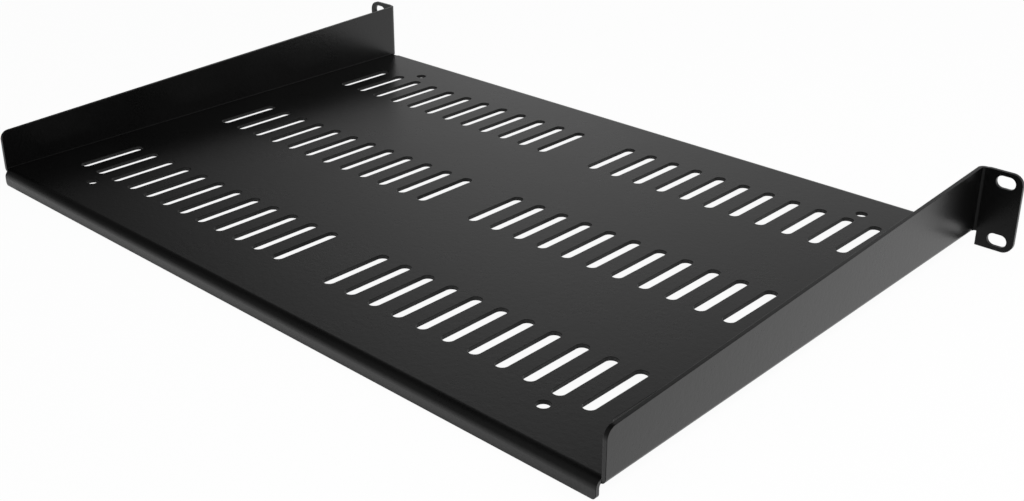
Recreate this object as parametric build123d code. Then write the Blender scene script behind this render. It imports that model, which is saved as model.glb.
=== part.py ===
from build123d import *
import os

# Cantilever rack shelf, one rack unit high, folded from a single steel sheet.
# Millimetres. X runs across the rack, +Y runs back into the rack, +Z is up.
# The origin is the middle of the four rack holes, on the plane where the rear
# faces of the two ears bear on the rack posts.

# Sheet
sheet = 2.0                    # steel with its powder coat
side_bend_inside = 0.5         # inside radius where the tray turns up into a side wall
ear_bend_inside = 1.5          # inside radius where a side wall turns out into its ear
lip_bend_inside = 2.5          # inside radius of the front and rear lips

# Rack panel size and hole pattern
panel_width = 482.6            # over both ears
rack_hole_inset = 8.75         # outer edge of an ear to the middle of its holes
rack_hole_rise = 31.75         # lower hole to upper hole of one ear
ear_height = 43.0
ear_corner_radius = 6.0
ear_slot_length = 10.3         # end to end
ear_slot_width = 6.8

# Body behind the ears
ear_reach = 21.3               # outside of a side wall to the outer edge of its ear
lip_back = 302.0               # rear face of the ears to the outside of the rear lip
side_wall_back = 300.0         # rear face of the ears to the rear edge of a side wall
tray_drop = 13.0               # middle of the ears down to the top of the tray
side_wall_front_height = 36.2  # underside of the tray to the wall's top, at the ears
side_wall_rear_height = 24.0   # the same at the rear edge
side_wall_corner_radius = 5.0
rear_lip_height = 9.0          # top of the tray down to the lip's lower edge
front_lip_height = 8.5
lip_corner_radius = 2.0
front_lip_setback = 4.5        # each end of the front lip stops short of the side bend

# Clearances at the folds
rear_corner_slit = 0.6         # width of the slit between the rear lip and a side bend
rear_corner_run = 1.0          # the slit runs this far past the rear bend line
ear_relief_drop = 0.8          # top of the tray down to the lower end of the ear's bend
ear_shoulder_run = 2.0         # the ear's top edge rises over this length

# Vents, in two groups with a plain strip between them
vent_length = 40.0             # end to end
vent_width = 6.6
vents_in_group = 12
vent_rows = 3
vent_middle_gap = 38.6         # middle of one innermost vent to the middle of the other
vent_right_margin = 26.3       # right side bend to the middle of the nearest vent
vent_left_margin = 18.1
vent_end_margin = 29.5         # front and rear bends to the ends of the nearest vents

# Fixing holes in the tray
tray_hole_diameter = 6.4
tray_hole_right_margin = 51.5  # right side bend to the middle of the nearest hole
tray_hole_left_margin = 48.5
tray_hole_end_margin = 21.0    # front and rear bends to the middle of the nearest hole

# Levels and lines that follow from the sizes
side_bend_outside = side_bend_inside + sheet
lip_bend_outside = lip_bend_inside + sheet
half_panel = panel_width / 2
half_body = half_panel - ear_reach
half_tray = half_body - side_bend_outside
tray_top = -tray_drop
tray_under = tray_top - sheet
ear_top = ear_height / 2
ear_bottom = -ear_height / 2
ear_front = -sheet
ear_bend_line = ear_bend_inside
ear_root = half_body + ear_bend_inside
front_bend_line = ear_front + lip_bend_outside
rear_bend_line = lip_back - lip_bend_outside
wall_foot = tray_under + side_bend_outside
wall_top_front = tray_under + side_wall_front_height
wall_top_rear = tray_under + side_wall_rear_height
ear_bend_foot = tray_top - ear_relief_drop
tray_middle = (front_bend_line + rear_bend_line) / 2
tray_run = rear_bend_line - front_bend_line
vent_group_run = (2 * half_tray - vent_left_margin - vent_right_margin - vent_middle_gap) / 2
vent_pitch = vent_group_run / (vents_in_group - 1)
vent_row_pitch = (tray_run - 2 * vent_end_margin - vent_length) / (vent_rows - 1)
cut_margin = 5.0               # cutters stand this far past what they cut


def across(y):
    """Upright plane across the shelf at depth y, drawn in X and Z."""
    return Plane(origin=(0, y, 0), x_dir=(1, 0, 0), z_dir=(0, -1, 0))


def along(x):
    """Upright plane along the shelf at width x, drawn in Y and Z."""
    return Plane(origin=(x, 0, 0), x_dir=(0, 1, 0), z_dir=(1, 0, 0))


def bend_section(centre, inside, first_angle):
    """Quarter ring that the sheet makes round a bend with this centre."""
    outer = CenterArc(centre, inside + sheet, first_angle, 90)
    inner = CenterArc(centre, inside, first_angle, 90)
    first_end = Line(outer @ 0, inner @ 0)
    last_end = Line(outer @ 1, inner @ 1)
    return make_face([outer, last_end, inner, first_end])


def tray():
    """Flat floor between the four bend lines."""
    floor = Rectangle(2 * half_tray, tray_run)
    return extrude(Pos(0, tray_middle, tray_under) * floor, amount=sheet)


def side_bend():
    """Bend that turns the tray up into the right side wall."""
    section = bend_section((half_tray, wall_foot), side_bend_inside, 270)
    return extrude(across(ear_bend_line) * section, amount=ear_bend_line - side_wall_back)


def side_wall():
    """Right side wall, lower towards the rear, with its rear top corner rounded."""
    outline = Polyline(
        (ear_bend_line, wall_foot),
        (side_wall_back, wall_foot),
        (side_wall_back, wall_top_rear),
        (ear_bend_line, wall_top_front),
        close=True,
    )
    wall = make_face(outline)
    rear_corners = wall.vertices().sort_by(Axis.X)[-2:]
    rear_top = rear_corners.sort_by(Axis.Y)[-1]
    wall = fillet(rear_top, side_wall_corner_radius)
    return extrude(along(half_body - sheet) * wall, amount=sheet)


def ear_bend():
    """Bend that turns the front of the right side wall out into the ear."""
    section = bend_section((ear_root, ear_bend_line), ear_bend_inside, 180)
    return extrude(Pos(0, 0, ear_bend_foot) * section, amount=wall_top_front - ear_bend_foot)


def ear():
    """Right ear, which hangs below its bend, with rounded outer corners and two slots."""
    outline = Polyline(
        (ear_root, ear_bottom),
        (half_panel, ear_bottom),
        (half_panel, ear_top),
        (ear_root + ear_shoulder_run, ear_top),
        (ear_root, wall_top_front),
        close=True,
    )
    plate = make_face(outline)
    outer_corners = plate.vertices().sort_by(Axis.X)[-2:]
    plate = fillet(outer_corners, ear_corner_radius)
    slot = SlotOverall(ear_slot_length, ear_slot_width)
    for height in (-rack_hole_rise / 2, rack_hole_rise / 2):
        plate -= Pos(half_panel - rack_hole_inset, height) * slot
    return extrude(across(0) * plate, amount=sheet)


def lip(half_length, height):
    """Bend and lip that stiffen one edge of the tray, with the lip's face at y = 0."""
    bend = bend_section((-lip_bend_outside, tray_top - lip_bend_outside), lip_bend_inside, 0)
    folded = extrude(along(-half_length) * bend, amount=2 * half_length)
    depth = height - lip_bend_outside
    face = Rectangle(2 * half_length, depth)
    lower_corners = face.vertices().sort_by(Axis.Y)[:2]
    face = fillet(lower_corners, lip_corner_radius)
    middle = tray_top - lip_bend_outside - depth / 2
    folded += extrude(across(0) * Pos(0, middle) * face, amount=sheet)
    return folded


def corner_slit():
    """Slit on the right side's bend line, where the rear lip and the side bend fold apart."""
    start = rear_bend_line - rear_corner_run
    length = 2 * (lip_back + cut_margin - start)
    slit = Rot(0, 0, 90) * SlotOverall(length, rear_corner_slit)
    foot = tray_under - cut_margin
    return extrude(Pos(half_tray, start + length / 2, foot) * slit, amount=wall_foot - foot)


def vents():
    """Two groups of vents, in rows across the tray."""
    right_group = half_tray - vent_right_margin - vent_group_run / 2
    left_group = -half_tray + vent_left_margin + vent_group_run / 2
    vent = Rot(0, 0, 90) * SlotOverall(vent_length, vent_width)
    group = GridLocations(vent_pitch, vent_row_pitch, vents_in_group, vent_rows)
    pattern = Sketch() + [
        Pos(group_middle, tray_middle) * place * vent
        for group_middle in (left_group, right_group)
        for place in group
    ]
    return extrude(Pos(0, 0, tray_under - cut_margin) * pattern, amount=sheet + 2 * cut_margin)


def tray_holes():
    """Four round holes near the corners of the tray."""
    hole = Circle(tray_hole_diameter / 2)
    pattern = Sketch() + [
        Pos(x, y) * hole
        for x in (-half_tray + tray_hole_left_margin, half_tray - tray_hole_right_margin)
        for y in (front_bend_line + tray_hole_end_margin, rear_bend_line - tray_hole_end_margin)
    ]
    return extrude(Pos(0, 0, tray_under - cut_margin) * pattern, amount=sheet + 2 * cut_margin)


def shelf():
    """The whole folded sheet."""
    right_side = side_bend() + side_wall() + ear_bend() + ear()
    rear_lip = Pos(0, lip_back, 0) * lip(half_tray - rear_corner_slit / 2, rear_lip_height)
    front_lip = Pos(0, ear_front, 0) * Rot(0, 0, 180) * lip(half_tray - front_lip_setback, front_lip_height)
    folded = tray() + right_side + mirror(right_side, about=Plane.YZ) + rear_lip + front_lip
    slit = corner_slit()
    folded -= [slit, mirror(slit, about=Plane.YZ)]
    return folded - vents() - tray_holes()


os.makedirs("parts", exist_ok=True)
piece = shelf()
export_step(piece, "parts/shelf.step")
print("solids", len(piece.solids()), "volume", round(piece.volume), "size", piece.bounding_box().size)
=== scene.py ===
import math

import bpy
from mathutils import Matrix, Vector


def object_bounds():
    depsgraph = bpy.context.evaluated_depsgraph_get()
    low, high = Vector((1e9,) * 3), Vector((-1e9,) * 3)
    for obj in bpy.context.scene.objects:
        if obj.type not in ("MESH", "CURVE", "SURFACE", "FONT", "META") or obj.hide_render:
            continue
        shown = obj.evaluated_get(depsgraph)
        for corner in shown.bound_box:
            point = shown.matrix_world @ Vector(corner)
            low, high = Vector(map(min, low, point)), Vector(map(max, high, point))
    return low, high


# Looks of the cantilever rack shelf: one folded sheet of steel with a satin black
# powder coat, on a white studio floor.
# Metres. X runs across the rack, +Y runs back into the rack, +Z is up.

# Camera, where the photograph was taken from
CAMERA_PLACE = Vector((-0.467439, 0.619800, 0.275593))
CAMERA_AZIMUTH = 0.752600        # from +Y towards -X
CAMERA_HEIGHT = 0.417850         # angle of the view below level
FOCAL_PIXELS = 1331.479
AXIS_PIXEL = (501.331, 205.915)  # from the picture's upper left corner
PICTURE_WIDTH = 1024
PICTURE_HEIGHT = 501
SENSOR_WIDTH = 36.0

# Powder coat
COAT_DARK = (0.0009, 0.0009, 0.0009, 1.0)
COAT_LIGHT = (0.0030, 0.0030, 0.0030, 1.0)
COAT_SHEEN = 0.60                # strength of the mirror part, where 0.5 is plain plastic
COAT_BEND = 1.5                  # refractive index
COAT_ROUGHNESS = 0.24
GRAIN_SIZE = 0.0009              # fine sand of the cured powder
GRAIN_SPAN = (0.35, 0.70)        # the part of its noise that shows in the colour
GRAIN_TINT = 0.60                # its share of the colour
GRAIN_RELIEF = 0.75              # its share of the relief
GRAIN_ROUGHNESS = 0.04
PEEL_SIZE = 0.0024               # slow ripple under the sand
PEEL_RELIEF = 0.90
CLOUD_SIZE = 0.045               # thicker and thinner coats
CLOUD_SPAN = (0.30, 0.70)
CLOUD_TINT = 0.40
CLOUD_ROUGHNESS = 0.05
RELIEF_DEPTH = 0.00004
EDGE_RADIUS = 0.00035            # the coat rounds each sheared edge
EDGE_SAMPLES = 8

# Studio floor
FLOOR_REACH = 30.0
FLOOR_PAINT = (0.84, 0.84, 0.84, 1.0)
FLOOR_GLOW = 0.95                # share of plain white that the camera sees in the floor
FLOOR_SHEEN_GLOW = 0.25          # the same in the coat's sheen
FOOT_LOW = (-0.207, 0.0)         # the sheen shows the floor under the shelf only
FOOT_HIGH = (0.207, 0.303)
FOOT_SOFTNESS = 0.002

# Studio light
WHITE = (1.0, 1.0, 1.0, 1.0)
AMBIENT = 0.38
LAMP_POWER = 15.5
LAMP_SIZE = 1.0
LAMP_PLACE = Vector((-0.95, 0.20, 1.00))
LAMP_TARGET = Vector((-0.15, 0.15, 0.0))

# What the sheen shows round the shelf. An edge is given from no light to full light.
# Heights are sines, and directions are cosines from the side named.
SKIRTING = [(0.0, 0.40), (0.08, 0.25), (0.18, 0.10), (0.32, 0.05), (1.0, 0.03)]  # height, light
CLOTH_LIGHT = 0.55               # white cloth behind the shelf's front
CLOTH_EDGE = (0.42, 0.78)        # from -Y
CLOTH_MIDDLE = (0.74, 0.92)      # where it is a little duller again
CLOTH_DULLER = 0.27
CLOTH_TOP = (0.34, 0.80)         # its light ends over these heights
ROOM_LIGHT = 0.12                # dim room on the side of the rear lip
ROOM_EDGE = (0.25, 0.85)         # from +Y
ROOM_FOOT = (0.05, 0.35)
PANEL_LIGHT = 0.90               # low white panels, one at the front and one at the +X side
PANEL_DEPTH = (0.02, 0.60)       # below level
PANEL_FRONT = (-0.25, 0.35)      # from -Y
PANEL_SIDE = (0.35, 0.62)        # from +X
PANEL_SHADE = 0.06               # light between the panels
LEVEL_LEAST = 0.001              # keeps straight up and straight down from dividing by nothing


class Wire:
    """The output of one node, which can be added to, scaled and compared as a number."""

    def __init__(self, paint, socket):
        self.paint = paint
        self.socket = socket

    def maths(self, operation, first, second):
        return self.paint.node("ShaderNodeMath", {"operation": operation}, {0: first, 1: second})

    def __add__(self, other):
        return self.maths("ADD", self, other)

    __radd__ = __add__

    def __sub__(self, other):
        return self.maths("SUBTRACT", self, other)

    def __rsub__(self, other):
        return self.maths("SUBTRACT", other, self)

    def __mul__(self, other):
        return self.maths("MULTIPLY", self, other)

    __rmul__ = __mul__

    def __truediv__(self, other):
        return self.maths("DIVIDE", self, other)

    def __pow__(self, other):
        return self.maths("POWER", self, other)

    def at_most(self, other):
        return self.maths("MINIMUM", self, other)

    def at_least(self, other):
        return self.maths("MAXIMUM", self, other)

    def beyond(self, start, end):
        """0 up to start, 1 from end on, smooth between them."""
        return self.paint.node(
            "ShaderNodeMapRange",
            {"interpolation_type": "SMOOTHSTEP"},
            {"Value": self, "From Min": start, "From Max": end},
        )


class Paint:
    """The node tree of a material or of the world."""

    def __init__(self, tree):
        self.tree = tree
        tree.nodes.clear()

    def node(self, kind, settings=None, sockets=None, output=0):
        made = self.tree.nodes.new(kind)
        for name, value in (settings or {}).items():
            if name == "stops":
                while len(made.color_ramp.elements) < len(value):
                    made.color_ramp.elements.new(0.5)
                for stop, (place, shade) in zip(made.color_ramp.elements, value):
                    stop.position = place
                    stop.color = (shade, shade, shade, 1.0)
            else:
                setattr(made, name, value)
        for name, value in (sockets or {}).items():
            if isinstance(value, Wire):
                self.tree.links.new(value.socket, made.inputs[name])
            else:
                made.inputs[name].default_value = value
        return Wire(self, made.outputs[output]) if made.outputs else made

    def parts(self, coordinates):
        """X, Y and Z of one kind of texture coordinate."""
        place = self.node("ShaderNodeTexCoord", output=coordinates)
        split = {"Vector": place}
        return [self.node("ShaderNodeSeparateXYZ", None, split, output=axis) for axis in "XYZ"]

    def noise(self, place, size, detail, roughness=0.5):
        return self.node(
            "ShaderNodeTexNoise",
            {"noise_dimensions": "3D"},
            {"Vector": place, "Scale": 1.0 / size, "Detail": detail, "Roughness": roughness},
        )

    def blend(self, share, first, second):
        return self.node(
            "ShaderNodeMix",
            {"data_type": "RGBA", "clamp_factor": True},
            {"Factor": share, 6: first, 7: second},
            output=2,
        )


def new_paint(name):
    material = bpy.data.materials.new(name)
    material.use_nodes = True
    return material, Paint(material.node_tree)


def powder_coat():
    """Satin black powder coat with a fine sandy grain."""
    material, paint = new_paint("satin_black_powder_coat")
    place = paint.node("ShaderNodeTexCoord", output="Object")
    grain = paint.noise(place, GRAIN_SIZE, detail=2.0, roughness=0.6)
    peel = paint.noise(place, PEEL_SIZE, detail=1.0)
    cloud = paint.noise(place, CLOUD_SIZE, detail=3.0, roughness=0.55)
    rounded = paint.node("ShaderNodeBevel", {"samples": EDGE_SAMPLES}, {"Radius": EDGE_RADIUS})
    relief = grain * GRAIN_RELIEF + peel * PEEL_RELIEF
    normal = paint.node(
        "ShaderNodeBump",
        None,
        {"Strength": 1.0, "Distance": RELIEF_DEPTH, "Height": relief, "Normal": rounded},
    )
    shade = grain.beyond(*GRAIN_SPAN) * GRAIN_TINT + cloud.beyond(*CLOUD_SPAN) * CLOUD_TINT
    colour = paint.blend(shade, COAT_DARK, COAT_LIGHT)
    roughness = COAT_ROUGHNESS + CLOUD_ROUGHNESS * cloud + GRAIN_ROUGHNESS * grain
    surface = paint.node(
        "ShaderNodeBsdfPrincipled",
        None,
        {
            "Base Color": colour,
            "Roughness": roughness,
            "Metallic": 0.0,
            "Specular IOR Level": COAT_SHEEN,
            "IOR": COAT_BEND,
            "Normal": normal,
        },
    )
    paint.node("ShaderNodeOutputMaterial", None, {"Surface": surface})
    return material


def seen_by(paint, *rays):
    """1 for the named kinds of ray, 0 for the rest."""
    masks = [paint.node("ShaderNodeLightPath", output=ray) for ray in rays]
    total = masks[0]
    for mask in masks[1:]:
        total = total.at_least(mask)
    return total


def floor_paint():
    """White floor, which is plain white to the camera and still keeps a shadow. Past the shelf's
    foot the coat's sheen looks through it, to the low panels."""
    material, paint = new_paint("white_studio_floor")
    glossy = seen_by(paint, "Is Glossy Ray")
    shown = seen_by(paint, "Is Camera Ray", "Is Transmission Ray") * FLOOR_GLOW + glossy * FLOOR_SHEEN_GLOW
    matt = paint.node("ShaderNodeBsdfDiffuse", None, {"Color": FLOOR_PAINT})
    glow = paint.node("ShaderNodeEmission", None, {"Color": WHITE, "Strength": 1.0})
    floor = paint.node("ShaderNodeMixShader", None, {0: shown, 1: matt, 2: glow})
    x, y, _ = paint.parts("Object")
    past_sides = (x - FOOT_HIGH[0]).at_least(FOOT_LOW[0] - x)
    past_ends = (y - FOOT_HIGH[1]).at_least(FOOT_LOW[1] - y)
    past_foot = past_sides.at_least(past_ends).beyond(0.0, FOOT_SOFTNESS)
    clear = paint.node("ShaderNodeBsdfTransparent", None, {"Color": WHITE})
    floor = paint.node("ShaderNodeMixShader", None, {0: past_foot * glossy, 1: floor, 2: clear})
    paint.node("ShaderNodeOutputMaterial", None, {"Surface": floor})
    return material


def studio_floor(level):
    mesh = bpy.data.meshes.new("studio_floor")
    signs = ((-1, -1), (1, -1), (1, 1), (-1, 1))
    corners = [(x * FLOOR_REACH, y * FLOOR_REACH, level) for x, y in signs]
    mesh.from_pydata(corners, [], [(0, 1, 2, 3)])
    mesh.materials.append(floor_paint())
    floor = bpy.data.objects.new("studio_floor", mesh)
    bpy.context.scene.collection.objects.link(floor)


def studio_walls():
    """World: white to the camera and even light on matt surfaces. The coat's sheen shows a cloth
    behind the shelf's front, a bright skirting under a dim room, and low panels below level."""
    world = bpy.data.worlds.new("studio")
    world.use_nodes = True
    paint = Paint(world.node_tree)
    x, y, rise = paint.parts("Generated")
    level = ((x * x + y * y) ** 0.5).at_least(LEVEL_LEAST)
    to_side, to_rear, to_front = x / level, y / level, (0.0 - y) / level
    skirting = paint.node("ShaderNodeValToRGB", {"stops": SKIRTING}, {"Fac": rise})
    cloth = to_front.beyond(*CLOTH_EDGE) * (1.0 - rise.beyond(*CLOTH_TOP)) * CLOTH_LIGHT
    cloth = cloth * (1.0 - to_front.beyond(*CLOTH_MIDDLE) * CLOTH_DULLER)
    room = to_rear.beyond(*ROOM_EDGE) * rise.beyond(*ROOM_FOOT) * ROOM_LIGHT
    panels = to_front.beyond(*PANEL_FRONT).at_least(to_side.beyond(*PANEL_SIDE))
    panels = (panels * PANEL_LIGHT).at_least(PANEL_SHADE)
    depth = (0.0 - rise).beyond(*PANEL_DEPTH)
    sheen = (skirting + cloth + room).at_most(1.0) * (1.0 - depth) + panels * depth
    glossy = seen_by(paint, "Is Glossy Ray")
    shown = seen_by(paint, "Is Camera Ray", "Is Transmission Ray")
    brightness = (1.0 - glossy) * AMBIENT + glossy * sheen
    brightness = (1.0 - shown) * brightness + shown
    light = paint.node("ShaderNodeBackground", None, {"Color": WHITE, "Strength": brightness})
    paint.node("ShaderNodeOutputWorld", None, {"Surface": light})
    bpy.context.scene.world = world


def soft_lamp():
    lamp = bpy.data.lights.new("soft_box", "AREA")
    lamp.shape = "SQUARE"
    lamp.size = LAMP_SIZE
    lamp.energy = LAMP_POWER
    holder = bpy.data.objects.new("soft_box", lamp)
    holder.location = LAMP_PLACE
    holder.rotation_euler = (LAMP_TARGET - LAMP_PLACE).to_track_quat("-Z", "Y").to_euler()
    holder.visible_glossy = False
    bpy.context.scene.collection.objects.link(holder)


def camera():
    back = Vector((
        -math.sin(CAMERA_AZIMUTH) * math.cos(CAMERA_HEIGHT),
        math.cos(CAMERA_AZIMUTH) * math.cos(CAMERA_HEIGHT),
        math.sin(CAMERA_HEIGHT),
    ))
    right = Vector((0.0, 0.0, 1.0)).cross(back).normalized()
    up = back.cross(right)
    lens = bpy.data.cameras.new("camera")
    lens.sensor_width = SENSOR_WIDTH
    lens.lens = FOCAL_PIXELS / PICTURE_WIDTH * SENSOR_WIDTH
    lens.shift_x = (PICTURE_WIDTH / 2 - AXIS_PIXEL[0]) / PICTURE_WIDTH
    lens.shift_y = (AXIS_PIXEL[1] - PICTURE_HEIGHT / 2) / PICTURE_WIDTH
    lens.clip_start = 0.01
    lens.clip_end = 200.0
    holder = bpy.data.objects.new("camera", lens)
    turned = Matrix((right, up, back)).transposed().to_4x4()
    holder.matrix_world = Matrix.Translation(CAMERA_PLACE) @ turned
    bpy.context.scene.collection.objects.link(holder)
    bpy.context.scene.camera = holder


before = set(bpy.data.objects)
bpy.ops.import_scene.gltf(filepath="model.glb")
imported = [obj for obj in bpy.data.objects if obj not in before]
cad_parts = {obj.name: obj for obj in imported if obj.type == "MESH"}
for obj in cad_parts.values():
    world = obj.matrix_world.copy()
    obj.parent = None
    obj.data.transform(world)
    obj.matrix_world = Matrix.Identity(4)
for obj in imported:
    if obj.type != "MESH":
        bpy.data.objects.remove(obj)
cad_low, cad_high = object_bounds()

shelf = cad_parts["shelf"]
coat = powder_coat()
for slot in shelf.material_slots:
    slot.material = coat

studio_floor(cad_low[2])
studio_walls()
soft_lamp()
camera()
bpy.context.scene.view_settings.view_transform = "Standard"
